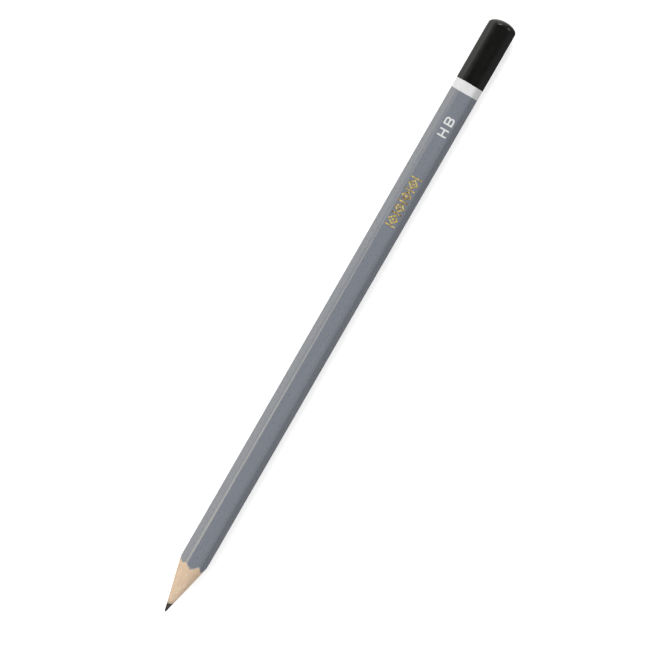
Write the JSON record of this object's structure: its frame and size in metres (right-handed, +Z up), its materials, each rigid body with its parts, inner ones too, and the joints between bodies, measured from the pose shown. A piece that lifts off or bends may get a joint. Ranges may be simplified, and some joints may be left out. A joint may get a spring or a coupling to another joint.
{
  "type": "graphite pencil",
  "caption": "Sharpened hexagonal graphite pencil with a grey lacquered wooden barrel, a white ring and a rounded black dipped end.",
  "frame": {"origin": "under the middle of the pencil, at its lowest point, as it lies on one of its flats", "axes": "+X along the pencil towards the black dipped end, the graphite point is at -X, +Z up, towards the printed flat"},
  "size_m": [0.175, 0.0076, 0.007],
  "materials": {
    "cased_wood": "matte",
    "graphite": "satin",
    "glue": "satin",
    "grey_lacquer": "satin",
    "white_lacquer": "satin",
    "black_lacquer": "gloss",
    "gold_foil": "polished",
    "white_ink": "satin"
  },
  "bodies": {
    "root": {"wood_half_upper": "cased_wood", "wood_half_lower": "cased_wood", "graphite_core": "graphite", "core_glue_sleeve": "glue", "seam_glue_left": "glue", "seam_glue_right": "glue", "grey_lacquer_coat": "grey_lacquer", "white_dip_coat": "white_lacquer", "black_dip_cap": "black_lacquer", "foil_ornament": "gold_foil", "grade_mark": "white_ink"}
  },
  "joints": []
}
